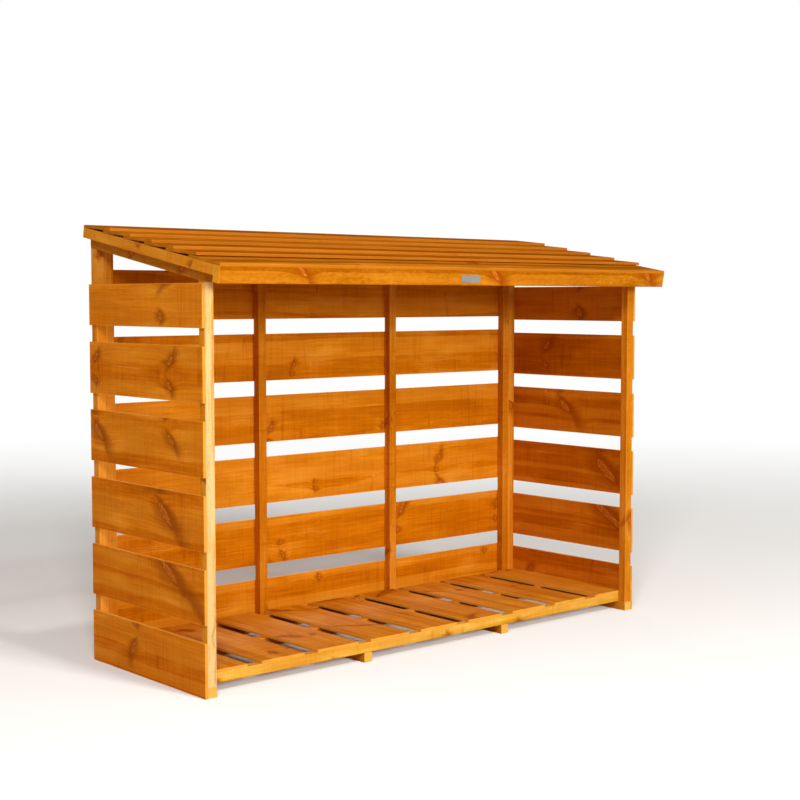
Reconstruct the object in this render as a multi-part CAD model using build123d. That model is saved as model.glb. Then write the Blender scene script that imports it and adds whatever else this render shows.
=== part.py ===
from build123d import *

import os
from math import asin, ceil, cos, degrees, radians, sin, tan

# Open slatted store for firewood with a lean-to roof, in millimetres.
# The front is towards -Y and the ground is z = 0. The origin is under the middle of the whole store.

# Overall sizes
width = 1688.0            # over the outer faces of the side boards
depth = 570.0             # front face of the front posts to back face of the rear posts
front_height = 1072.0     # ground to the top of the front posts, at their front face
roof_slope = 10.0         # degrees, rising to the back
front_overhang = 106.0    # roof in front of the front posts
side_overhang = 16.0      # roof past the side boards, at each end

# Timber
batten = 28.0             # square framing, planed
wide_batten = 44.0        # deeper framing, for the front edge and the two ends of the roof
arris = 1.5               # planed off each long edge of the framing
board_width = 145.0
board_thick = 8.0
board_gap = 46.0          # between the boards of a wall, and about that in the floor
narrowest_rip = 40.0      # the least width worth keeping of a board ripped to fit
side_board_drop = 2.0     # top side board below the top of the front posts
back_board_lift = 12.0    # lowest back board above the ground
least_lap = 35.0          # least lap of one roof board over the next
bed = 0.6                 # depth of the flat that beds a lapped board on the rafters

# Heights and places that follow
slope = radians(roof_slope)
board_pitch = board_width + board_gap
back_reach = depth + board_thick
front_reach = front_overhang + board_thick * sin(slope)
y_front = (front_reach - back_reach) / 2
y_back = y_front + depth
x_left = -width / 2
x_frame = x_left + board_thick            # outer face of the side frames
x_bay = x_frame + batten                  # inner face of the side frames
floor_bottom = batten
slat_bottom = floor_bottom + batten
y_floor_front = y_front + batten
y_floor_back = y_back - batten


def rail_underside(y):
    """Height of the slope on which the side rails lie, at this y."""
    return front_height + (y - y_front) * tan(slope)


def frame_top(y):
    """Height of the slope on which the roof's battens lie, at this y."""
    return rail_underside(y) + batten / cos(slope)


# The roof is drawn up its slope: s from its front edge, n square to it from the underside of the boards
roof_y = y_front - front_overhang
roof_z = frame_top(roof_y) + batten / cos(slope)
roof_length = (depth + front_overhang - batten * sin(slope)) / cos(slope)
lap_count = ceil((roof_length - board_width) / (board_width - least_lap))
roof_pitch = (roof_length - board_width) / lap_count
board_tilt = asin(board_thick / roof_pitch)


def on_roof(s, n):
    """(y, z) of a point s up the roof and n above the underside of its boards."""
    return (roof_y + s * cos(slope) - n * sin(slope), roof_z + s * sin(slope) + n * cos(slope))


def block(x, y, z):
    """A square-cut piece, from three (from, to) pairs."""
    size = Box(x[1] - x[0], y[1] - y[0], z[1] - z[0], align=(Align.MIN, Align.MIN, Align.MIN))
    return Pos(x[0], y[0], z[0]) * size


def run_along_x(outline, x):
    """A piece with this side outline of (y, z) points, between two x."""
    face = make_face(Plane.YZ.offset(x[0]) * Polyline(*outline, close=True))
    return extrude(face, x[1] - x[0], dir=(1, 0, 0))


def roof_batten(s, x, deep=batten):
    """A batten under the roof boards, this deep square to the slope."""
    outline = [on_roof(s[0], -deep), on_roof(s[1], -deep), on_roof(s[1], 0), on_roof(s[0], 0)]
    return eased(run_along_x(outline, x))


def eased(piece):
    """A batten with its long edges planed off."""
    longest = max(edge.length for edge in piece.edges())
    return chamfer([edge for edge in piece.edges() if edge.length > longest / 2], arris)


def mirrored(piece):
    """The same piece of the right end."""
    return piece.mirror(Plane.YZ)


def evenly(first, last, count):
    """Count places from first to last."""
    return [first + (last - first) * i / (count - 1) for i in range(count)]


os.makedirs("parts", exist_ok=True)


def save(piece, name):
    export_step(piece, f"parts/{name}.step")


def save_pair(piece, name):
    """The left piece and its mirror image on the right."""
    save(piece, f"left_{name}")
    save(mirrored(piece), f"right_{name}")


# Side frames: two posts on a bottom rail, under a sloping top rail
def side_post(y):
    """A post with its top cut to the slope."""
    outline = [(y[0], batten), (y[1], batten), (y[1], rail_underside(y[1])), (y[0], rail_underside(y[0]))]
    return eased(run_along_x(outline, (x_frame, x_bay)))


save_pair(side_post((y_front, y_floor_front)), "front_post")
save_pair(side_post((y_floor_back, y_back)), "rear_post")
save_pair(eased(block((x_frame, x_bay), (y_front, y_back), (0, batten))), "bottom_rail")
top_rail = [
    (y_front, rail_underside(y_front)),
    (y_back, rail_underside(y_back)),
    (y_back, frame_top(y_back)),
    (y_front, frame_top(y_front)),
]
save_pair(eased(run_along_x(top_rail, (x_frame, x_bay))), "top_rail")

# Side boards, from the ground up, the top one ripped down to end below the roof
side_boards_top = front_height - side_board_drop
full_boards = int((side_boards_top + board_gap) / board_pitch)
board_spans = [(i * board_pitch, i * board_pitch + board_width) for i in range(full_boards)]
if side_boards_top - full_boards * board_pitch > narrowest_rip:
    board_spans.append((full_boards * board_pitch, side_boards_top))
for number, span in enumerate(board_spans, start=1):
    save_pair(block((x_left, x_frame), (y_front, y_back), span), f"side_board_{number}")

# Back frame, held between the rear posts
back_x = (x_bay, -x_bay)
back_rail_bottom = frame_top(y_floor_back) - batten
back_top_rail = [
    (y_floor_back, back_rail_bottom),
    (y_back, back_rail_bottom),
    (y_back, frame_top(y_back)),
    (y_floor_back, frame_top(y_floor_back)),
]
save(eased(block(back_x, (y_floor_back, y_back), (0, batten))), "back_bottom_rail")
save(eased(run_along_x(back_top_rail, back_x)), "back_top_rail")
stud_names = ["back_stud_left", "back_stud_mid_left", "back_stud_mid_right", "back_stud_right"]
stud_places = evenly(x_bay, -x_bay - batten, len(stud_names))
for x, name in zip(stud_places, stud_names):
    save(eased(block((x, x + batten), (y_floor_back, y_back), (batten, back_rail_bottom))), name)

# Back boards, nailed behind the studs
back_board_count = int((back_rail_bottom - back_board_lift + board_gap) / board_pitch)
back_boards = []
for i in range(back_board_count):
    z = back_board_lift + i * board_pitch
    back_boards.append(block(back_x, (y_back, back_reach + y_front), (z, z + board_width)))
save(Compound(children=back_boards), "back_boards")

# Floor: three rails on the side frames and on two bearers, with slats from front to back
floor_x = (x_frame, -x_frame)
floor_rail_names = ["floor_front_rail", "floor_middle_rail", "floor_rear_rail"]
rail_places = evenly(y_floor_front, y_floor_back - batten, len(floor_rail_names))
for y, name in zip(rail_places, floor_rail_names):
    save(eased(block(floor_x, (y, y + batten), (floor_bottom, slat_bottom))), name)
thirds = evenly(x_frame, -x_frame - batten, 4)
for x, name in zip(thirds[1:-1], ["floor_bearer_left", "floor_bearer_right"]):
    save(eased(block((x, x + batten), (y_floor_front, y_floor_back), (0, floor_bottom))), name)
slat_count = round((floor_x[1] - floor_x[0] + board_gap) / board_pitch)
slats = []
for x in evenly(floor_x[0], floor_x[1] - board_width, slat_count):
    slat_z = (slat_bottom, slat_bottom + board_thick)
    slats.append(block((x, x + board_width), (y_floor_front, y_floor_back), slat_z))
save(Compound(children=slats), "floor_slats")

# Roof frame
roof_x = (x_left - side_overhang, -x_left + side_overhang)
rake_inner = roof_x[0] + wide_batten
rafter_s = (batten, roof_length - batten)
save(roof_batten((0, batten), roof_x, wide_batten), "roof_front_rail")
save_pair(roof_batten((batten, roof_length), (roof_x[0], rake_inner)), "roof_end_batten")
save(roof_batten((roof_length - batten, roof_length), (rake_inner, -rake_inner)), "roof_rear_rail")
for x, name in zip(stud_places[1:-1], ["roof_rafter_left", "roof_rafter_right"]):
    save(roof_batten(rafter_s, (x, x + batten)), name)

# Roof boards: the lowest lies flat, and each of the others laps over the one in front of it
first_rear = board_width
second_rear = first_rear + roof_pitch
lap_start = second_rear - (board_thick + bed) / tan(board_tilt)
lap_end_n = roof_pitch * tan(board_tilt) - bed
first_board = [
    on_roof(0, 0),
    on_roof(first_rear, 0),
    on_roof(first_rear, lap_end_n),
    on_roof(lap_start, board_thick),
    on_roof(0, board_thick),
]
save(run_along_x(first_board, roof_x), "roof_board_1")


def lapped_board(rear):
    """A tilted board whose rear lower corner, planed flat, beds on the battens at s = rear."""

    def point(along, up):
        s = rear - along * cos(board_tilt) + up * sin(board_tilt)
        n = -bed + along * sin(board_tilt) + up * cos(board_tilt)
        return on_roof(s, n)

    outline = [
        point(0, bed / cos(board_tilt)),
        point(0, board_thick),
        point(board_width, board_thick),
        point(board_width, 0),
        point(bed / sin(board_tilt), 0),
    ]
    return run_along_x(outline, roof_x)


for i in range(lap_count):
    save(lapped_board(second_rear + i * roof_pitch), f"roof_board_{i + 2}")

print(f"roof: {lap_count + 1} boards at {roof_pitch:.1f} mm, tilted {degrees(board_tilt):.2f} degrees")
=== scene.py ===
import random
from math import cos, pi, radians, sin

import bmesh
import bpy
from mathutils import Matrix, Vector


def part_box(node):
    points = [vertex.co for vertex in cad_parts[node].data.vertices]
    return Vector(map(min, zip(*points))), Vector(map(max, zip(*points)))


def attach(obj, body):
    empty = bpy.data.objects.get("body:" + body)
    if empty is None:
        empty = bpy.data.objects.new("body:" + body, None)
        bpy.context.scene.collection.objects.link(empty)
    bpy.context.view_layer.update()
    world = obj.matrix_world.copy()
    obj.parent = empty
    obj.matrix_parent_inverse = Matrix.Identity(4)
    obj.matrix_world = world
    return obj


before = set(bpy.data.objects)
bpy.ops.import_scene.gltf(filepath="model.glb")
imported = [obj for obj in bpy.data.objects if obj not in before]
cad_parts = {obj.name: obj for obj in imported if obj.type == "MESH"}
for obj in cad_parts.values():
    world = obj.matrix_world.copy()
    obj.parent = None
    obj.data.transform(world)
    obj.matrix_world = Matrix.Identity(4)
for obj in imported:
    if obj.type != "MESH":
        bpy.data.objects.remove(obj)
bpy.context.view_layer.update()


# Bottom rails of the two end frames
# Square spruce battens, planed on four sides with the long edges taken off, that lie on the ground.
# The posts stand on them and the floor's rails rest on them. All the timber has a golden stain.

chance = random.Random(11)               # the same lots are drawn in every run


def linear(shade):
    """An sRGB hex colour as linear red, green, blue and alpha."""
    channels = [int(shade[i:i + 2], 16) / 255 for i in (1, 3, 5)]
    return [c / 12.92 if c <= 0.04045 else ((c + 0.055) / 1.055) ** 2.4 for c in channels] + [1.0]


def add(tree, kind, inputs=(), **settings):
    """A node with its settings, and with a value or a link for each input, in order or by name.

    A node given as an input stands for its first output. A Mix node of colours has its share at 0,
    its colours at 6 and 7 and its result at 2. Stops are a ramp's places, shades and strengths.
    """
    node = tree.nodes.new("ShaderNode" + kind)
    for name, value in settings.items():
        if name == "stops":
            stops = node.color_ramp.elements
            while len(stops) < len(value):
                stops.new(0.5)
            for stop, (place, shade, strength) in zip(stops, value):
                stop.position = place
                stop.color = linear(shade)[:3] + [strength]
        else:
            setattr(node, name, value)
    given = inputs.items() if isinstance(inputs, dict) else enumerate(inputs)
    for name, value in given:
        if isinstance(value, bpy.types.Node):
            value = value.outputs[0]
        if isinstance(value, bpy.types.NodeSocket):
            tree.links.new(value, node.inputs[name])
        else:
            node.inputs[name].default_value = value
    return node


def nearest_branch(tree, given, along, radius, angle):
    """How far a place is from the nearest branch, in half widths of the branch, and its streaks."""
    branches = 5                         # in one whorl
    whorl_lot, branch_lot = 7.13, 3.71   # keep the lots of whorls and of branches apart
    most_turn = 3.0                      # of a whorl, in steps from one branch to the next
    heart_thick, taper = 4.0, 0.09       # half its thickness at the heart in mm, and more for each mm out
    ragged = 0.35                        # how uneven its outline is, over some 30 mm
    tip, lean = 12.0, 1.3                # how blunt the dark V past it is, in mm, and how wide it opens

    # One whorl each Spacing along the trunk, moved and turned as Loose allows
    risen = add(tree, "Math", (radius, given["Rise"]), operation="MULTIPLY")
    level = add(tree, "Math", (along, risen), operation="SUBTRACT")
    whorl = add(tree, "Math", (level, given["Spacing"]), operation="DIVIDE")
    whorl = add(tree, "Math", (whorl,), operation="ROUND")
    own = add(tree, "Math", (whorl, whorl_lot, given["Seed"]), operation="MULTIPLY_ADD")
    lot = add(tree, "TexWhiteNoise", {"W": own}, noise_dimensions="1D")
    lots = add(tree, "SeparateColor", (lot.outputs["Color"],)).outputs
    moved = add(tree, "Math", (lots[0], given["Loose"], whorl), operation="MULTIPLY_ADD")
    moved = add(tree, "Math", (moved, given["Spacing"]), operation="MULTIPLY")
    past = add(tree, "Math", (level, moved), operation="SUBTRACT")
    turned = add(tree, "Math", (angle, branches / (2 * pi), given["Turn"]), operation="MULTIPLY_ADD")
    loosely = add(tree, "Math", (lots[1], given["Loose"]), operation="MULTIPLY")
    turned = add(tree, "Math", (loosely, most_turn, turned), operation="MULTIPLY_ADD")
    branch = add(tree, "Math", (turned,), operation="ROUND")
    off = add(tree, "Math", (turned, branch), operation="SUBTRACT")
    off = add(tree, "Math", (off, radius), operation="MULTIPLY")
    off = add(tree, "Math", (off, 2 * pi / branches), operation="MULTIPLY")

    # A branch thickens outwards, and no two of a whorl are alike
    own = add(tree, "Math", (branch, branch_lot, own), operation="MULTIPLY_ADD")
    lot = add(tree, "TexWhiteNoise", {"W": own}, noise_dimensions="1D")
    size = add(tree, "MapRange", {"Value": lot.outputs["Value"], "To Min": 0.6, "To Max": 1.15})
    thick = add(tree, "Math", (radius, taper, heart_thick), operation="MULTIPLY_ADD")
    thick = add(tree, "Math", (thick, size), operation="MULTIPLY")
    thick = add(tree, "Math", (thick, given["Girth"]), operation="MULTIPLY")
    uneven = add(tree, "TexNoise", {"Vector": given["Place"], "Scale": 0.03, "Detail": 0.0})
    uneven = add(tree, "MapRange", {"Value": uneven, "To Min": -ragged, "To Max": ragged})

    # Knot is the branch itself. Swirl is the wood that it pushed aside, twice as long as wide
    near = add(tree, "CombineXYZ", (past, off))
    gone = add(tree, "VectorMath", (near,), operation="LENGTH").outputs["Value"]
    gone = add(tree, "Math", (gone, thick), operation="DIVIDE")
    knot = add(tree, "Math", (gone, uneven), operation="ADD")
    drawn = add(tree, "VectorMath", (near, (0.5, 1, 0)), operation="MULTIPLY")
    drawn = add(tree, "VectorMath", (drawn,), operation="LENGTH").outputs["Value"]
    swirl = add(tree, "Math", (drawn, thick), operation="DIVIDE")
    swirl = add(tree, "Math", (swirl, uneven), operation="ADD")

    # Flame is the wood that grew over the branch's upper side, a blunt V that points along the trunk
    beyond = add(tree, "Math", (given["Rise"],), operation="SIGN")
    beyond = add(tree, "Math", (beyond, past), operation="MULTIPLY")
    beside = add(tree, "CombineXYZ", (off, tip))
    beside = add(tree, "VectorMath", (beside,), operation="LENGTH").outputs["Value"]
    flame = add(tree, "Math", (beside, lean, beyond), operation="MULTIPLY_ADD")
    flame = add(tree, "Math", (flame, thick), operation="DIVIDE")

    # The branch's own fibres run outwards with it, in streaks 4 mm wide and 70 mm long
    inside = add(tree, "CombineXYZ", (past, off, radius))
    inside = add(tree, "VectorMath", (inside, (1 / 4, 1 / 4, 1 / 70)), operation="MULTIPLY")
    streaks = add(tree, "TexNoise", {"Vector": inside, "Scale": 1.0, "Detail": 2.0})
    return {"Knot": knot, "Swirl": swirl, "Flame": flame, "Streaks": streaks}


def yearly_growth(tree, given, radius, swirl):
    """Rings, runs of years, fibres, and the stain that follows them. All of it bulges round a branch."""
    bulge, fades = 12, 0.3               # how far a branch pushes rings aside, in mm, and how soon no more
    crowded = 9.0                        # how unevenly wide the years are
    late_wood = 2.5                      # how narrow the dark part of a ring is

    # Pull is 1 at a branch, and 0 where the wood is out of its way
    pull = add(tree, "Math", (swirl, swirl), operation="MULTIPLY")
    pull = add(tree, "Math", (pull, -fades), operation="MULTIPLY")
    pull = add(tree, "Math", (pull,), operation="EXPONENT")

    # Runs of years, about 60 mm of growth each, are paler or darker than the next
    grown = add(tree, "Math", (pull, -bulge, radius), operation="MULTIPLY_ADD")
    years = add(tree, "Math", (grown, 1 / 60, given["Seed"]), operation="MULTIPLY_ADD")
    years = add(tree, "TexNoise", {"W": years, "Scale": 1.0, "Detail": 1.0}, noise_dimensions="1D")
    zones = add(tree, "MapRange", {"Value": years, "From Min": 0.47, "From Max": 0.51},
                interpolation_type="SMOOTHSTEP")
    grown = add(tree, "Math", (grown, given["Ring"]), operation="DIVIDE")
    grown = add(tree, "Math", (years, crowded, grown), operation="MULTIPLY_ADD")
    year = add(tree, "Math", (grown,), operation="FRACT")
    ring = add(tree, "Math", (year, late_wood), operation="POWER")

    # Fibres wave by up to 7 mm over some 45 mm. Real ones are far too fine to show, so they are drawn
    # 7 mm wide and 260 mm long, with finer ones in them
    bent = add(tree, "CombineXYZ", {1: pull})
    bent = add(tree, "VectorMath", (bent, (0, bulge, 0), given["Place"]), operation="MULTIPLY_ADD")
    wave = add(tree, "VectorMath", (given["Place"], (1 / 45, 1 / 30, 1 / 30)), operation="MULTIPLY")
    wave = add(tree, "TexNoise", {"Vector": wave, "W": given["Seed"], "Scale": 1.0, "Detail": 1.0},
               noise_dimensions="4D")
    bent = add(tree, "VectorMath", (wave.outputs["Color"], (0, 7, 7), bent), operation="MULTIPLY_ADD")
    fine = add(tree, "VectorMath", (bent, (1 / 260, 1 / 7, 1 / 7)), operation="MULTIPLY")
    fibres = add(tree, "TexNoise",
                 {"Vector": fine, "W": given["Seed"], "Scale": 1.0, "Detail": 4.0, "Roughness": 0.7},
                 noise_dimensions="4D")

    # Bloom is where the stain clouds and Film where it thins, in patches of about 200 by 60 mm
    broad = add(tree, "VectorMath", (bent, (1 / 200, 1 / 60, 1 / 60)), operation="MULTIPLY")
    bloom = add(tree, "TexNoise", {"Vector": broad, "W": given["Seed"], "Scale": 1.0, "Detail": 2.0},
                noise_dimensions="4D")
    patches = add(tree, "SeparateColor", (bloom.outputs["Color"],)).outputs
    return {
        "Rings": ring, "Year": year, "Zones": zones, "Fibres": fibres,
        "Bloom": patches[0], "Film": patches[1],
    }


def growth_of_the_tree():
    """A node group for any plain-sawn piece: its growth rings, its branches and its fibres.

    Place is in mm along, across and through the piece. Pith is where one whorl of branches leaves the
    heart of the tree, Spacing is from whorl to whorl, Drift is how far the heart wanders and Ring is a
    year's growth, in the same mm. Rise is how far a branch runs along for each mm outwards.
    """
    tree = bpy.data.node_groups.new("growth of the tree", "ShaderNodeTree")
    for name in ("Place", "Pith"):
        tree.interface.new_socket(name, in_out="INPUT", socket_type="NodeSocketVector")
    for name in ("Spacing", "Rise", "Turn", "Loose", "Girth", "Drift", "Ring", "Seed"):
        tree.interface.new_socket(name, in_out="INPUT", socket_type="NodeSocketFloat")
    for name in ("Rings", "Year", "Zones", "Fibres", "Bloom", "Film", "Knot", "Swirl", "Flame", "Streaks"):
        tree.interface.new_socket(name, in_out="OUTPUT", socket_type="NodeSocketFloat")
    given = tree.nodes.new("NodeGroupInput").outputs

    # The heart of a real tree wanders, over about 700 mm of its length
    slow = add(tree, "VectorMath", (given["Place"], (1 / 700, 1 / 260, 1 / 260)), operation="MULTIPLY")
    drift = add(tree, "TexNoise", {"Vector": slow, "W": given["Seed"], "Scale": 1.0, "Detail": 1.0},
                noise_dimensions="4D")
    drift = add(tree, "VectorMath", (drift.outputs["Color"], (0.5, 0.5, 0.5)), operation="SUBTRACT")
    drift = add(tree, "VectorMath", (drift, (0, 1, 1)), operation="MULTIPLY")
    drift = add(tree, "VectorMath", {0: drift, "Scale": given["Drift"]}, operation="SCALE")
    out = add(tree, "VectorMath", (given["Place"], given["Pith"]), operation="SUBTRACT")
    out = add(tree, "VectorMath", (out, drift), operation="ADD")
    sides = add(tree, "SeparateXYZ", (out,)).outputs
    flat = add(tree, "VectorMath", (out, (0, 1, 1)), operation="MULTIPLY")
    radius = add(tree, "VectorMath", (flat,), operation="LENGTH").outputs["Value"]
    angle = add(tree, "Math", (sides["Z"], sides["Y"]), operation="ARCTAN2")

    shown = nearest_branch(tree, given, sides["X"], radius, angle)
    shown.update(yearly_growth(tree, given, radius, shown["Swirl"]))
    made = tree.nodes.new("NodeGroupOutput")
    for name, source in shown.items():
        if isinstance(source, bpy.types.Node):
            source = source.outputs[0]
        tree.links.new(source, made.inputs[name])
    return tree


growth = growth_of_the_tree()


def planer_marks(tree, place, own, film, ripple):
    """Ripples 9 mm long across a piece, and thin dark lines some 25 mm apart where the planer chattered."""
    close = add(tree, "VectorMath", (place, (1 / 9, 1 / 160, 1 / 160)), operation="MULTIPLY")
    ripples = add(tree, "TexNoise", {"Vector": close, "W": own, "Scale": 1.0, "Detail": 2.0},
                  noise_dimensions="4D")
    apart = add(tree, "VectorMath", (place, (1 / 42, 1 / 600, 1 / 600)), operation="MULTIPLY")
    chatter = add(tree, "TexNoise", {"Vector": apart, "W": own, "Scale": 1.0, "Detail": 0.0},
                  noise_dimensions="4D")
    chatter = add(tree, "MapRange", {"Value": chatter, "To Min": -1.0})
    chatter = add(tree, "Math", (chatter,), operation="ABSOLUTE")
    chatter = add(tree, "MapRange",
                  {"Value": chatter, "From Max": 0.035, "To Min": -1.1 * ripple, "To Max": 0.0})
    rough_run = add(tree, "MapRange", {"Value": film, "From Min": 0.42, "From Max": 0.55})
    return ripples, add(tree, "Math", (chatter, rough_run), operation="MULTIPLY")


def branches_shown(tree, colour, grain):
    """Wood turned dark brown round a branch and in a ragged V past its end, and then the branch itself."""
    around, across_it = 5.0, 4.0         # the ramps reach over this many half widths of the branch
    ragged = add(tree, "Math", (grain["Fibres"], 1.6, -0.8), operation="MULTIPLY_ADD")
    close = add(tree, "MapRange", {"Value": grain["Swirl"], "From Min": 3.0, "From Max": 1.4},
                interpolation_type="SMOOTHSTEP")
    for form, stops in (
        ("Swirl", [(0.0, "#9C4600", 0.7), (0.2, "#A04A00", 0.6), (0.42, "#B45C00", 0.0)]),
        ("Flame", [(0.28, "#A65000", 0.0), (0.42, "#943E00", 0.65), (0.6, "#9A4400", 0.5),
                   (0.9, "#B45C00", 0.0)]),
    ):
        dark = add(tree, "Math", (grain[form], ragged), operation="ADD")
        dark = add(tree, "Math", (dark, around), operation="DIVIDE")
        dark = add(tree, "ValToRGB", (dark,), stops=stops)
        strength = add(tree, "Math", (dark.outputs["Alpha"], close), operation="MULTIPLY")
        colour = add(tree, "Mix", {0: strength, 6: colour.outputs[2], 7: dark}, data_type="RGBA")

    # A pinkish core with brown streaks, in a thin dark outline of bark
    knot = add(tree, "Math", (grain["Knot"], across_it), operation="DIVIDE")
    branch = add(tree, "ValToRGB", (knot,), stops=[
        (0.0, "#CA6E18", 0.8), (0.2, "#D67E28", 0.8), (0.235, "#8A3800", 0.8), (0.26, "#8A3800", 0.7),
        (0.3, "#9A4200", 0.0),
    ])
    streaks = add(tree, "MapRange", {"Value": grain["Streaks"], "From Min": 0.42, "From Max": 0.58})
    core = add(tree, "Mix", {0: streaks, 6: linear("#A85008"), 7: branch}, data_type="RGBA")
    return add(tree, "Mix", {0: branch.outputs["Alpha"], 6: colour.outputs[2], 7: core.outputs[2]},
               data_type="RGBA")


def sawn_rubbed_and_painted_highlight(tree, colour, place, half, fibres, sawn, pale):
    """A paler tone in the last 1 mm of the sawn ends, partly end grain and partly painted sunlight, and
    unevenly in the 2 mm of each long edge, partly wear and partly painted highlight.
    """
    thin = 5                             # half the thickness of a thin board is less than this, in mm
    apart = add(tree, "VectorMath", (place,), operation="ABSOLUTE")
    apart = add(tree, "VectorMath", (half, apart), operation="SUBTRACT")
    from_end, from_edge, from_face = add(tree, "SeparateXYZ", (apart,)).outputs
    if half[2] < thin:
        # A thin board's long edges, lit from above, get the pale tone of its ends: painted highlight
        from_end = add(tree, "Math", (from_end, from_edge), operation="MINIMUM")
    end = add(tree, "MapRange", {"Value": from_end, "From Min": 1.2, "From Max": 0.3, "To Max": 0.6})
    colour = add(tree, "Mix", {0: end, 6: colour.outputs[2], 7: linear(sawn)}, data_type="RGBA")
    # The long edges' paler tone is partly rubbed wear and partly painted highlight
    edge = add(tree, "Math", (from_edge, from_face), operation="MAXIMUM")
    rubbed = add(tree, "MapRange", {"Value": fibres, "From Min": 0.25, "From Max": 0.6, "To Min": 0.4})
    edge = add(tree, "Math", (edge, rubbed), operation="DIVIDE")
    edge = add(tree, "MapRange", {"Value": edge, "From Min": 2.2, "From Max": 0.3, "To Max": 0.7})
    return add(tree, "Mix", {0: edge, 6: colour.outputs[2], 7: linear(pale)}, data_type="RGBA")


def painted_sunlit_face(tree, colour, normal, painted_sunlit_side, tone, fibres):
    """Painted sunlight: cream in uneven patches on a face turned to the sun, with fine brown checks
    along the grain in it.
    """
    facing = add(tree, "VectorMath", (normal, painted_sunlit_side), operation="DOT_PRODUCT").outputs["Value"]
    painted_sunlight = add(tree, "MapRange", {"Value": facing, "From Min": 0.3, "From Max": 0.9},
                 interpolation_type="SMOOTHSTEP")
    painted_light_strength = add(tree, "MapRange",
               {"Value": tone, "From Min": 0.3, "From Max": 0.75, "To Min": 0.15, "To Max": 0.95})
    painted_light_strength = add(tree, "Math", (painted_sunlight, painted_light_strength), operation="MULTIPLY")
    colour = add(tree, "Mix", {0: painted_light_strength, 6: colour.outputs[2], 7: linear("#E6C080")}, data_type="RGBA")
    checks = add(tree, "MapRange", {"Value": fibres, "From Min": 0.46, "From Max": 0.36, "To Max": 0.6})
    checks = add(tree, "Math", (painted_sunlight, checks), operation="MULTIPLY")
    return add(tree, "Mix", {0: checks, 6: colour.outputs[2], 7: linear("#B07030")}, data_type="RGBA")


def empty_material(name):
    """A new material, and its node tree with nothing in it."""
    material = bpy.data.materials.new(name)
    material.use_nodes = True
    material.node_tree.nodes.clear()
    return material, material.node_tree


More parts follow.
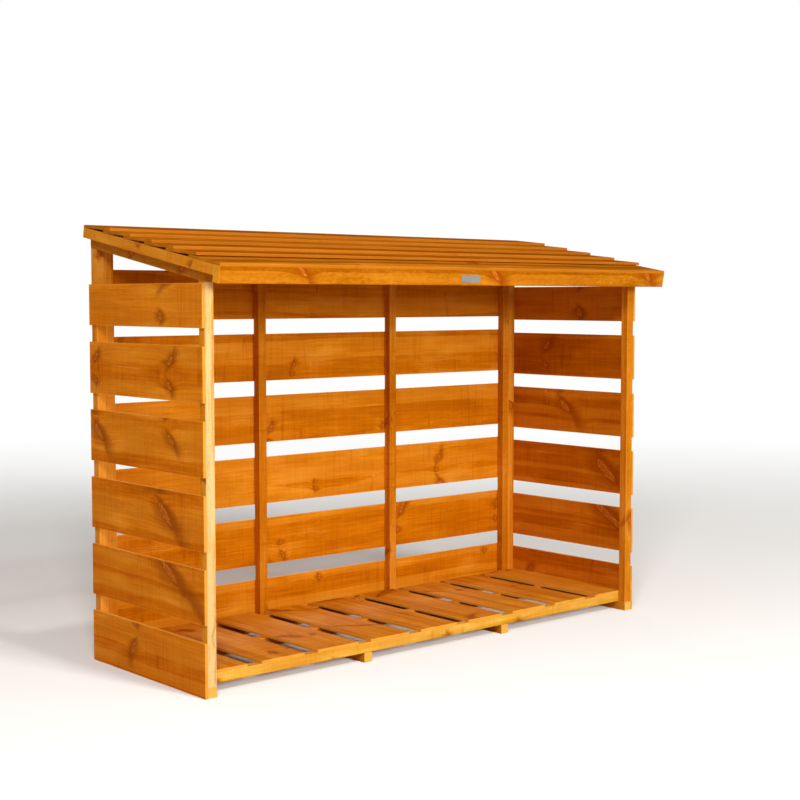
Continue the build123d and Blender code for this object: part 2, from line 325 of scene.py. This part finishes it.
def stained_spruce(name, along, across, shades, pith, spacing=420, rise=0.6, turn=0.0, loose=0.5,
                   girth=1.0, drift=60, ring=3.4, ripple=0.25, mottle=0.25, gloss=0.02,
                   rough=(0.62, 0.5), painted_sunlit_side=None, sawn="#EFAE46", size=None, boards=(1, 0)):
    """Spruce under a satin golden stain, cut from the tree as the piece called name was.

    The stain is thin and clear, so the eye sees the grain through it, with a dull sheen. Shades are
    where it is deepest, middling and palest, rough is its roughness from deep to pale, and sawn is its
    colour on the ends. Ripple and mottle are how strongly planer marks and small blotches show. Size is
    in mm along, across and through. Boards are how many like boards share the piece, and their pitch.
    """
    low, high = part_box(name)
    along, across = Vector(along).normalized(), Vector(across).normalized()
    through = along.cross(across)
    cut = Matrix((along, across, through)).transposed()
    if size is None:
        size = [abs(side.dot(high - low)) * 1000 for side in (along, across, through)]
    half = [side / 2 for side in size]
    material, tree = empty_material(f"golden stained spruce, {name}")
    seed = chance.uniform(0, 90)

    # Places are in mm from the middle of the piece, or of each board where like boards share it
    spot = add(tree, "TexCoord").outputs
    place = add(tree, "Mapping",
                {"Vector": spot["Object"], "Location": (low + high) / 2, "Rotation": cut.to_euler(),
                 "Scale": [0.001] * 3},
                vector_type="TEXTURE")
    heart, own = pith, seed
    count, pitch = boards
    if count > 1:
        board_lot = 17.9                 # keeps the boards' lots apart
        spread, least = (spacing, 170, 35), (0, -85, -17)   # how far their hearts differ, in mm
        sides = add(tree, "SeparateXYZ", (place,)).outputs
        number = add(tree, "Math", (sides["Y"], 1 / pitch, (count - 1) / 2), operation="MULTIPLY_ADD")
        number = add(tree, "Math", (number,), operation="ROUND")
        middle = add(tree, "Math", (number, pitch, -pitch * (count - 1) / 2), operation="MULTIPLY_ADD")
        middle = add(tree, "CombineXYZ", {1: middle})
        place = add(tree, "VectorMath", (place, middle), operation="SUBTRACT")
        own = add(tree, "Math", (number, board_lot, seed), operation="MULTIPLY_ADD")
        lot = add(tree, "TexWhiteNoise", {"W": own}, noise_dimensions="1D")
        nearest = [at + less for at, less in zip(pith, least)]
        heart = add(tree, "VectorMath", (lot.outputs["Color"], spread, nearest), operation="MULTIPLY_ADD")
    grain = add(tree, "Group",
                {"Place": place, "Pith": heart, "Spacing": spacing, "Rise": rise, "Turn": turn,
                 "Loose": loose, "Girth": girth, "Drift": drift, "Ring": ring, "Seed": own},
                node_tree=growth).outputs
    ripples, chatter = planer_marks(tree, place, own, grain["Film"], ripple)
    # Small blotches are about 16 mm long and 6 mm wide
    small = add(tree, "VectorMath", (place, (1 / 16, 1 / 6, 1 / 6)), operation="MULTIPLY")
    blotches = add(tree, "TexNoise",
                   {"Vector": small, "W": own, "Scale": 1.0, "Detail": 3.0, "Roughness": 0.75},
                   noise_dimensions="4D")

    # The stain clouds along the board, follows runs of years and sinks into the soft early wood. Each
    # layer swings about a half, so half of every weight is taken off to keep the sum on the middle shade
    layers = (
        (grain["Bloom"], 0.8), (grain["Fibres"], 1.0), (grain["Zones"], 0.25), (ripples, ripple),
        (grain["Rings"], -0.1), (blotches, mottle),
    )
    tone = 0.5 - sum(weight for _, weight in layers) / 2
    for layer, weight in layers:
        tone = add(tree, "Math", (layer, weight, tone), operation="MULTIPLY_ADD")
    tone = add(tree, "Math", (tone, chatter), operation="ADD")
    deep, middling, pale = shades
    colour = add(tree, "ValToRGB", (tone,), stops=[(0.1, deep, 1), (0.5, middling, 1), (0.9, pale, 1)])

    # Pinker where the timber of some years shows through the stain, with a few thin pale lines
    film = add(tree, "MapRange",
               {"Value": grain["Film"], "From Min": 0.3, "From Max": 0.6, "To Max": 0.45},
               interpolation_type="SMOOTHSTEP")
    film = add(tree, "Math", (film, grain["Zones"]), operation="MULTIPLY")
    colour = add(tree, "Mix", {0: film, 6: colour, 7: linear("#D07818")}, data_type="RGBA")
    line = add(tree, "MapRange", {"Value": grain["Year"], "From Min": 0.8, "From Max": 0.92, "To Max": 0.5})
    rare = add(tree, "MapRange", {"Value": grain["Bloom"], "From Min": 0.56, "From Max": 0.66},
               interpolation_type="SMOOTHSTEP")
    line = add(tree, "Math", (line, rare), operation="MULTIPLY")
    colour = add(tree, "Mix", {0: line, 6: colour.outputs[2], 7: linear("#EFA750")}, data_type="RGBA")

    colour = branches_shown(tree, colour, grain)
    colour = sawn_rubbed_and_painted_highlight(tree, colour, place, half, grain["Fibres"], sawn, pale)
    # The face turned to the given side gets painted sunlight, cream in patches
    if painted_sunlit_side:
        colour = painted_sunlit_face(tree, colour, spot["Normal"], painted_sunlit_side, tone, grain["Fibres"])

    # Fibres, and late wood a third as much, stand proud by a part of half a millimetre
    sheen = add(tree, "MapRange", {"Value": tone, "To Min": rough[0], "To Max": rough[1]})
    height = add(tree, "Math", (grain["Rings"], 0.35, grain["Fibres"]), operation="MULTIPLY_ADD")
    height = add(tree, "Math", (ripples, ripple, height), operation="MULTIPLY_ADD")
    relief = add(tree, "Bump", {"Height": height, "Strength": 0.4, "Distance": 0.0005})
    surface = add(tree, "BsdfPrincipled", {
        "Base Color": colour.outputs[2], "Roughness": sheen, "IOR": 1.45, "Specular IOR Level": gloss,
        "Normal": relief,
    })
    add(tree, "OutputMaterial", {"Surface": surface})
    return material


def finish_piece(name, material, rounding=0.8):
    """Gives a piece its material, and its edges the small rounding, in mm, that sanding leaves."""
    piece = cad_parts[name]
    piece.data.materials.clear()
    piece.data.materials.append(material)
    piece.modifiers.new("joined corners", "WELD").merge_threshold = 0.00001
    sanded = piece.modifiers.new("sanded edges", "BEVEL")
    sanded.width = rounding / 1000
    sanded.segments = 2
    sanded.limit_method = "ANGLE"
    sanded.angle_limit = radians(30)


def any_heart():
    """Where the heart of the tree lay beside a batten cut from the outside of its trunk, in mm."""
    along, across = chance.uniform(-200, 200), chance.uniform(-50, 50)
    return (along, across, chance.choice((-1, 1)) * chance.uniform(30, 80))


X, Y, Z = (1, 0, 0), (0, 1, 0), (0, 0, 1)
planed = 0.4                             # a batten's edges are planed off, so sanding rounds them less, mm
batten_shades = ("#B05E00", "#CC760E", "#E49A38")
for side in ("left", "right"):
    name = f"{side}_bottom_rail"
    # Their sawn ends are pale yellow: painted sunlight
    wood = stained_spruce(name, Y, X, batten_shades, any_heart(), sawn="#F6C860")
    finish_piece(name, wood, planed)


# Posts of the end frames
# The same battens stood on end on the bottom rails. The pair at the front face the light, and show
# straight narrow grain with few knots. The front face of the left one has painted sunlight on it.

narrow_ring = 2.6                        # mm of growth in a year
post_shades = {
    "left_front_post": ("#BC660A", "#DE8A14", "#F2B040"),
    "right_front_post": ("#B86408", "#D47E14", "#EAA23C"),
    "left_rear_post": batten_shades,
    "right_rear_post": batten_shades,
}
for name, shades in post_shades.items():
    # Painted sunlight on the front face of the left front post
    painted_sunlit_side = (0, -1, 0) if name == "left_front_post" else None
    wood = stained_spruce(name, Z, X, shades, any_heart(), ring=narrow_ring, ripple=0.08, mottle=0.5,
                          painted_sunlit_side=painted_sunlit_side)
    finish_piece(name, wood, planed)


# Top rails of the end frames
# A batten nailed down on each pair of posts, which rises to the back at the slope of the roof. Its
# colour is darker, its ends as much: painted shade from the roof above it.

slope = radians(10)
up_roof = (0, cos(slope), sin(slope))
batten = 28
past_shaded_ends = 20                           # mm added to its length, so that its ends keep the painted shade and get no paler tone
top_rail_painted_shade = ("#8E4600", "#AA5E08", "#C67E26")
for side in ("left", "right"):
    name = f"{side}_top_rail"
    low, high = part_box(name)
    length = (high.y - low.y) / cos(slope) * 1000
    wood = stained_spruce(name, up_roof, X, top_rail_painted_shade, any_heart(),
                          size=(length + past_shaded_ends, batten, batten))
    finish_piece(name, wood, planed)


# Side boards
# Thin sawn boards nailed across the outside of the posts, with open gaps between them. Each was cut
# near the heart of a small tree, so the branches run through it lengthwise as long pale spikes.

def nail_heads(name, board, spots, driven):
    """Flat nail heads, 3.6 mm across, driven flush into a board at each spot from outside it."""
    profile = ((1.8, -0.2), (1.75, 0.1), (1.3, 0.16), (0.5, 0.1))   # mm out from the middle and up
    sides = 12
    outside = 0.1                        # metres off the board, where each nail is driven from
    mesh = bmesh.new()
    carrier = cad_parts[board]
    for spot in spots:
        met, at, outward, _ = carrier.ray_cast(Vector(spot) - Vector(driven) * outside, Vector(driven))
        if not met:
            continue
        turn = outward.to_track_quat("Z", "Y").to_matrix().to_4x4()
        rings = []
        for reach, lift in profile:
            ring = []
            for i in range(sides):
                a = i * 2 * pi / sides
                point = Vector((reach * cos(a), reach * sin(a), lift))
                ring.append(mesh.verts.new(at + turn @ point / 1000))
            rings.append(ring)
        for outer, inner in zip(rings, rings[1:]):
            for i in range(sides):
                j = (i + 1) % sides
                mesh.faces.new((outer[i], outer[j], inner[j], inner[i]))
        mesh.faces.new(rings[-1])
    data = bpy.data.meshes.new(name)
    mesh.to_mesh(data)
    data.materials.append(nail_steel)
    nails = bpy.data.objects.new(name, data)
    bpy.context.scene.collection.objects.link(nails)
    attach(nails, "root")


def galvanised_under_stain():
    """Zinc-coated nail heads stained with the wood: dull metal under an amber film, in spots of 1 mm."""
    material, tree = empty_material("galvanised steel under stain")
    spot = add(tree, "TexCoord").outputs
    film = add(tree, "TexNoise", {"Vector": spot["Object"], "Scale": 900.0, "Detail": 2.0})
    colour = add(tree, "ValToRGB", (film,), stops=[(0.35, "#6E3E12", 1), (0.65, "#9A6428", 1)])
    rough = add(tree, "MapRange", {"Value": film, "To Min": 0.35, "To Max": 0.6})
    surface = add(tree, "BsdfPrincipled", {"Base Color": colour, "Roughness": rough, "Metallic": 0.3})
    add(tree, "OutputMaterial", {"Surface": surface})
    return material


nail_steel = galvanised_under_stain()
# The boards of the right end are darker: painted shade, for their inside lies in shade
side_shades_and_painted_shade = {"left": ("#B65600", "#D77103", "#F0931E"), "right": ("#A34C00", "#C06503", "#D7831A")}
post_middle = {}
for post in ("front", "rear"):
    low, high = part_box(f"left_{post}_post")
    post_middle[post] = (low.y + high.y) / 2
between_branches = 360 / 5               # degrees round the trunk
nail_spread = 0.33                       # from a board's middle to its nails, for each unit of its width
# For each board from the ground up: a place on its spike, in mm along and up from the board's middle,
# how far it runs along for each mm outwards, its distance from the heart, how steeply it leaves the
# face, in degrees, its girth, and how far on the tree's next whorl of branches is
side_spikes = {
    1: (62, 10, 0.5, 60, 36, 1.2, 640),
    2: (-104, 53, -1.7, 70, 38, 2.0, 640),
    3: (-86, 16, -1.2, 70, 38, 2.5, 640),
    4: (-126, 20, -1.2, 60, 44, 1.5, 378),
    5: (-126, 26, -1.1, 50, 130, 1.2, 380),
    6: (-86, -27, -0.5, 70, 66, 1.3, 640),
}
for side, outside in (("left", -1), ("right", 1)):
    for number, (along, up, rise, reach, steep, girth, spacing) in side_spikes.items():
        name = f"{side}_side_board_{number}"
        if side == "right":
            along += chance.uniform(-90, 260)
        pith = (along - rise * reach, up + reach * cos(radians(steep)), reach * sin(radians(steep)))
        wood = stained_spruce(name, Y, Z, side_shades_and_painted_shade[side], pith, rise=rise, girth=girth, loose=0.0,
                              turn=0.5 - steep / between_branches, drift=14, spacing=spacing)
        finish_piece(name, wood)
        low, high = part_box(name)
        face = high.x if outside > 0 else low.x
        middle, spread = (low.z + high.z) / 2, (high.z - low.z) * nail_spread
        spots = [(face, y, z) for y in post_middle.values() for z in (middle - spread, middle + spread)]
        nail_heads(f"{name}_nails", name, spots, (-outside, 0, 0))


# Back frame
# Two rails between the rear posts, with four uprights between the rails. The top rail's upper face
# is planed to the slope, and the uprights are what the back boards are nailed to.

for name in ("back_bottom_rail", "back_top_rail"):
    wood = stained_spruce(name, X, Z, batten_shades, any_heart())
    finish_piece(name, wood, planed)
studs = ("back_stud_left", "back_stud_mid_left", "back_stud_mid_right", "back_stud_right")
for name in studs:
    wood = stained_spruce(name, Z, X, batten_shades, any_heart(), ring=narrow_ring)
    finish_piece(name, wood, planed)


# Back boards
# Six long boards of the same thin sawn spruce, with small knots here and there. They are nailed to
# the uprights from behind, two nails to each, with the same gaps between them as at the sides.

board_wide, board_thick = 145, 8
nail_row = 48                            # mm from a board's middle to each of its two rows of nails
board_shades = ("#B05800", "#D07404", "#E89624")
low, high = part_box("back_boards")
back_count = 6
back_pitch = (high.z - low.z - board_wide / 1000) / (back_count - 1)
wood = stained_spruce("back_boards", X, Z, board_shades, (0, 0, -22), spacing=520, rise=0.5,
                      size=((high.x - low.x) * 1000, board_wide, board_thick),
                      boards=(back_count, back_pitch * 1000))
finish_piece("back_boards", wood)
spots = []
for name in studs:
    stud = sum(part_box(name), Vector()) / 2
    for number in range(back_count):
        middle = low.z + board_wide / 2000 + number * back_pitch
        spots += [(stud.x, high.y, middle - nail_row / 1000), (stud.x, high.y, middle + nail_row / 1000)]
nail_heads("back_board_nails", "back_boards", spots, (0, -1, 0))


# Floor frame
# The same battens: two short bearers on the ground carry three rails, which also rest on the end
# frames' bottom rails and are nailed to them. The front rail and the bearers' ends are paler and
# yellower: painted sunlight.

for name in ("floor_bearer_left", "floor_bearer_right"):
    # Their sawn ends are pale yellow: painted sunlight
    wood = stained_spruce(name, Y, X, batten_shades, any_heart(), sawn="#F4C456")
    finish_piece(name, wood, planed)
floor_rails = {
    # The front rail's paler yellow shades are painted sunlight
    "floor_front_rail": ("#C27C12", "#E0A22A", "#F4C65C"),
    "floor_middle_rail": batten_shades,
    "floor_rear_rail": batten_shades,
}
for name, shades in floor_rails.items():
    wood = stained_spruce(name, X, Z, shades, any_heart())
    finish_piece(name, wood, planed)


# Floor slats
# Nine thin spruce boards laid from front to back over the rails, so that air comes up between them,
# and nailed down to each rail with two nails.

slat_shades = ("#BC6600", "#D8820C", "#F0AA36")
low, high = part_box("floor_slats")
slat_count = 9
slat_pitch = (high.x - low.x - board_wide / 1000) / (slat_count - 1)
wood = stained_spruce("floor_slats", Y, X, slat_shades, (0, 0, 22), spacing=460,
                      size=((high.y - low.y) * 1000, board_wide, board_thick),
                      boards=(slat_count, slat_pitch * 1000))
finish_piece("floor_slats", wood)
spots = []
for name in floor_rails:
    rail = sum(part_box(name), Vector()) / 2
    for number in range(slat_count):
        middle = low.x + board_wide / 2000 + number * slat_pitch
        spots += [(middle - nail_row / 1000, rail.y, high.z), (middle + nail_row / 1000, rail.y, high.z)]
nail_heads("floor_slat_nails", "floor_slats", spots, (0, 0, -1))


# Roof frame
# A deep rail along the front edge, a batten laid flat up each end, two rafters between them and a
# rail along the back edge, all square to the slope. The front rail is the face of the store.

deep_batten = 44
square_to_roof = (0, -sin(slope), cos(slope))
front_shades = ("#964800", "#AC6000", "#CA8014")
low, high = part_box("roof_front_rail")
# Its spikes run down to the right, one beside the plate and one near each end
# Its sawn ends are bright yellow: painted sunlight
wood = stained_spruce("roof_front_rail", X, square_to_roof, front_shades, (8, 54, -21), spacing=680,
                      rise=1.2, loose=0.05, girth=1.4, drift=14, ripple=0.1, mottle=1.3, sawn="#FFA828",
                      size=((high.x - low.x) * 1000, deep_batten, batten))
finish_piece("roof_front_rail", wood, planed)
low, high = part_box("roof_rear_rail")
wood = stained_spruce("roof_rear_rail", X, square_to_roof, batten_shades, any_heart(),
                      size=((high.x - low.x) * 1000, batten, batten))
finish_piece("roof_rear_rail", wood, planed)
end_shades = ("#B45A00", "#D27808", "#E89628")
for name, wide in (
    ("left_roof_end_batten", deep_batten),
    ("right_roof_end_batten", deep_batten),
    ("roof_rafter_left", batten),
    ("roof_rafter_right", batten),
):
    low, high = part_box(name)
    length = ((high.y - low.y) * 1000 - batten * sin(slope)) / cos(slope)
    wood = stained_spruce(name, up_roof, X, end_shades, any_heart(), size=(length, wide, batten))
    finish_piece(name, wood, planed)


# Roof boards
# Six boards across the whole roof. The first lies flat on the battens and each of the others laps
# over the one in front, so that rain runs off; they are nailed down at the ends and on the rafters.

lap_tilt = radians(5.72)
nail_rows = (0.03, 0.08)                 # metres back from a board's front edge
nailed_x = []
for name in ("left_roof_end_batten", "roof_rafter_left", "roof_rafter_right", "right_roof_end_batten"):
    nailed_x.append((sum(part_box(name), Vector()) / 2).x)
# Rain and light have dulled the sheen up here. The darker colour, and the darker sawn ends, are painted
# shade
roof_shades_painted_darker = ("#964A04", "#AE5E0A", "#CC7E22")
dulled = (0.9, 0.8)
for number in range(1, 7):
    name = f"roof_board_{number}"
    low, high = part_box(name)
    tilt = slope if number == 1 else lap_tilt
    pith = (chance.uniform(-200, 200), chance.uniform(-70, 70), -24)
    wood = stained_spruce(name, X, (0, cos(tilt), sin(tilt)), roof_shades_painted_darker, pith, spacing=540, gloss=0.0,
                          rough=dulled, sawn="#C0701A",
                          size=((high.x - low.x) * 1000, board_wide, board_thick))
    finish_piece(name, wood)
    spots = [(x, low.y + back, high.z) for x in nailed_x for back in nail_rows]
    nail_heads(f"{name}_nails", name, spots, (0, 0, -1))


# Plate on the front rail
# A small plate of brushed aluminium with rounded corners, 72 by 22 mm and 1 mm thick, left bare,
# and held in the middle of the front rail by two round-headed pins.

def brushed_aluminium():
    """Aluminium brushed along its length: grey, with fine bright and dark streaks."""
    material, tree = empty_material("brushed aluminium")
    spot = add(tree, "TexCoord").outputs
    # Brush lines are about 0.1 mm apart and would not show, so they are drawn 0.6 mm apart
    lines = add(tree, "VectorMath", (spot["Object"], (25, 1600, 1600)), operation="MULTIPLY")
    lines = add(tree, "TexNoise", {"Vector": lines, "Scale": 1.0, "Detail": 3.0})
    colour = add(tree, "ValToRGB", (lines,), stops=[(0.3, "#8B8682", 1), (0.7, "#BDB8B2", 1)])
    rough = add(tree, "MapRange", {"Value": lines, "To Min": 0.3, "To Max": 0.5})
    relief = add(tree, "Bump", {"Height": lines, "Strength": 0.3, "Distance": 0.0001})
    surface = add(tree, "BsdfPrincipled",
                  {"Base Color": colour, "Metallic": 1.0, "Roughness": rough, "Normal": relief})
    add(tree, "OutputMaterial", {"Surface": surface})
    return material


# Sizes in metres
plate_wide, plate_tall, plate_thick, plate_corner = 0.072, 0.022, 0.001, 0.002
plate_edge = 0.0002                      # taken off the edge of its face
plate_height = 1.086                     # of its middle, above the ground
pin, pin_inset = 0.0016, 0.0045          # half a pin's width, and from its middle to the plate's end
pin_sides = 16
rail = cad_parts["roof_front_rail"]
_, at, outward, _ = rail.ray_cast(Vector((0, -0.5, plate_height)), Vector(Y))
level = Vector(X)
stand = Matrix.Translation(at) @ Matrix((level, outward.cross(level), outward)).transposed().to_4x4()
mesh = bmesh.new()
outline = []
for x, y, start in ((1, 1, 0), (-1, 1, 90), (-1, -1, 180), (1, -1, 270)):
    for degrees in range(start, start + 91, 15):
        a = radians(degrees)
        outline.append((x * (plate_wide / 2 - plate_corner) + plate_corner * cos(a),
                        y * (plate_tall / 2 - plate_corner) + plate_corner * sin(a)))
levels = []
for inset, lift in ((0, 0), (0, plate_thick - plate_edge), (plate_edge, plate_thick)):
    narrower, shorter = 1 - 2 * inset / plate_wide, 1 - 2 * inset / plate_tall
    levels.append([mesh.verts.new((x * narrower, y * shorter, lift)) for x, y in outline])
for lower, upper in zip(levels, levels[1:]):
    for i in range(len(outline)):
        j = (i + 1) % len(outline)
        mesh.faces.new((lower[i], lower[j], upper[j], upper[i]))
mesh.faces.new(levels[-1])
mesh.faces.new(reversed(levels[0]))
for side in (-1, 1):
    middle = side * (plate_wide / 2 - pin_inset)
    rings = []
    for steep in (0, pi / 7, 2 * pi / 7, 3 * pi / 7):
        # A pin's head is a quarter as tall as it is wide
        reach, lift = pin * cos(steep), plate_thick + 0.5 * pin * sin(steep)
        ring = []
        for i in range(pin_sides):
            a = i * 2 * pi / pin_sides
            ring.append(mesh.verts.new((middle + reach * cos(a), reach * sin(a), lift)))
        rings.append(ring)
    for lower, upper in zip(rings, rings[1:]):
        for i in range(pin_sides):
            j = (i + 1) % pin_sides
            mesh.faces.new((lower[i], lower[j], upper[j], upper[i]))
    mesh.faces.new(rings[-1])
mesh.transform(stand)
data = bpy.data.meshes.new("bare_plate")
mesh.to_mesh(data)
data.materials.append(brushed_aluminium())
plate = bpy.data.objects.new("bare_plate", data)
bpy.context.scene.collection.objects.link(plate)
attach(plate, "root")


# The floor, the lights and the camera
# A pale matt floor that fades to white in the distance, and an even white room. One low soft lamp
# stands in front, one higher at the front left and one behind on the right.

def shows_the_room(tree):
    """1 where the room is seen, in the view itself or in metal or glass, and 0 where it gives light."""
    seen = add(tree, "LightPath").outputs
    shown = add(tree, "Math", (seen["Is Camera Ray"], seen["Is Glossy Ray"]), operation="MAXIMUM")
    return add(tree, "Math", (shown, seen["Is Transmission Ray"]), operation="MAXIMUM")


scene = bpy.context.scene
scene.view_settings.view_transform = "Standard"
bpy.ops.mesh.primitive_circle_add(vertices=96, radius=14, fill_type="NGON")
floor = bpy.context.object
floor.name = "studio_floor"
material, tree = empty_material("matt white floor")
spot = add(tree, "TexCoord").outputs
reach = add(tree, "VectorMath", (spot["Object"],), operation="LENGTH").outputs["Value"]
far = add(tree, "MapRange", {"Value": reach, "From Min": 1.5, "From Max": 7.0},
          interpolation_type="SMOOTHSTEP")
far = add(tree, "Math", (far, shows_the_room(tree)), operation="MULTIPLY")
paint = add(tree, "BsdfDiffuse", {"Color": linear("#E4E2DE"), "Roughness": 1.0})
white = add(tree, "Emission", {"Color": (1, 1, 1, 1), "Strength": 1.0})
mixed = add(tree, "MixShader", (far, paint, white))
add(tree, "OutputMaterial", {"Surface": mixed})
floor.data.materials.append(material)

world = bpy.data.worlds.new("white room")
scene.world = world
world.use_nodes = True
tree = world.node_tree
tree.nodes.clear()
room_light = 0.42                        # the light it gives, where the white that it shows is 1
strength = add(tree, "MapRange", {"Value": shows_the_room(tree), "To Min": room_light, "To Max": 1.0})
room = add(tree, "Background", {"Color": (1, 1, 1, 1), "Strength": strength})
add(tree, "OutputWorld", {"Surface": room})

for name, place, target, size, watts in (
    ("front_softbox", (0.2, -5.6, 1.95), (0, 0, 0.55), 1.2, 200),
    ("front_left_softbox", (-2.9, -3.1, 2.9), (0, 0, 0.5), 1.0, 95),
    ("rear_softbox", (3.0, 4.6, 2.4), (0, 0, 0.6), 2.0, 90),
):
    lamp = bpy.data.lights.new(name, "AREA")
    lamp.size = size
    lamp.energy = watts
    light = bpy.data.objects.new(name, lamp)
    light.location = place
    light.rotation_euler = (Vector(target) - Vector(place)).to_track_quat("-Z", "Y").to_euler()
    scene.collection.objects.link(light)

# The camera stands a metre above the ground at the front left, and looks a little down
looks_down, turned_right = 3.944, 41.175
camera = bpy.data.objects.new("camera", bpy.data.cameras.new("camera"))
camera.data.lens = 66.53
camera.data.sensor_width = 36
camera.location = (-2.9310, -3.3814, 1.0314)
camera.rotation_euler = (radians(90 - looks_down), 0, radians(-turned_right))
scene.collection.objects.link(camera)
scene.camera = camera
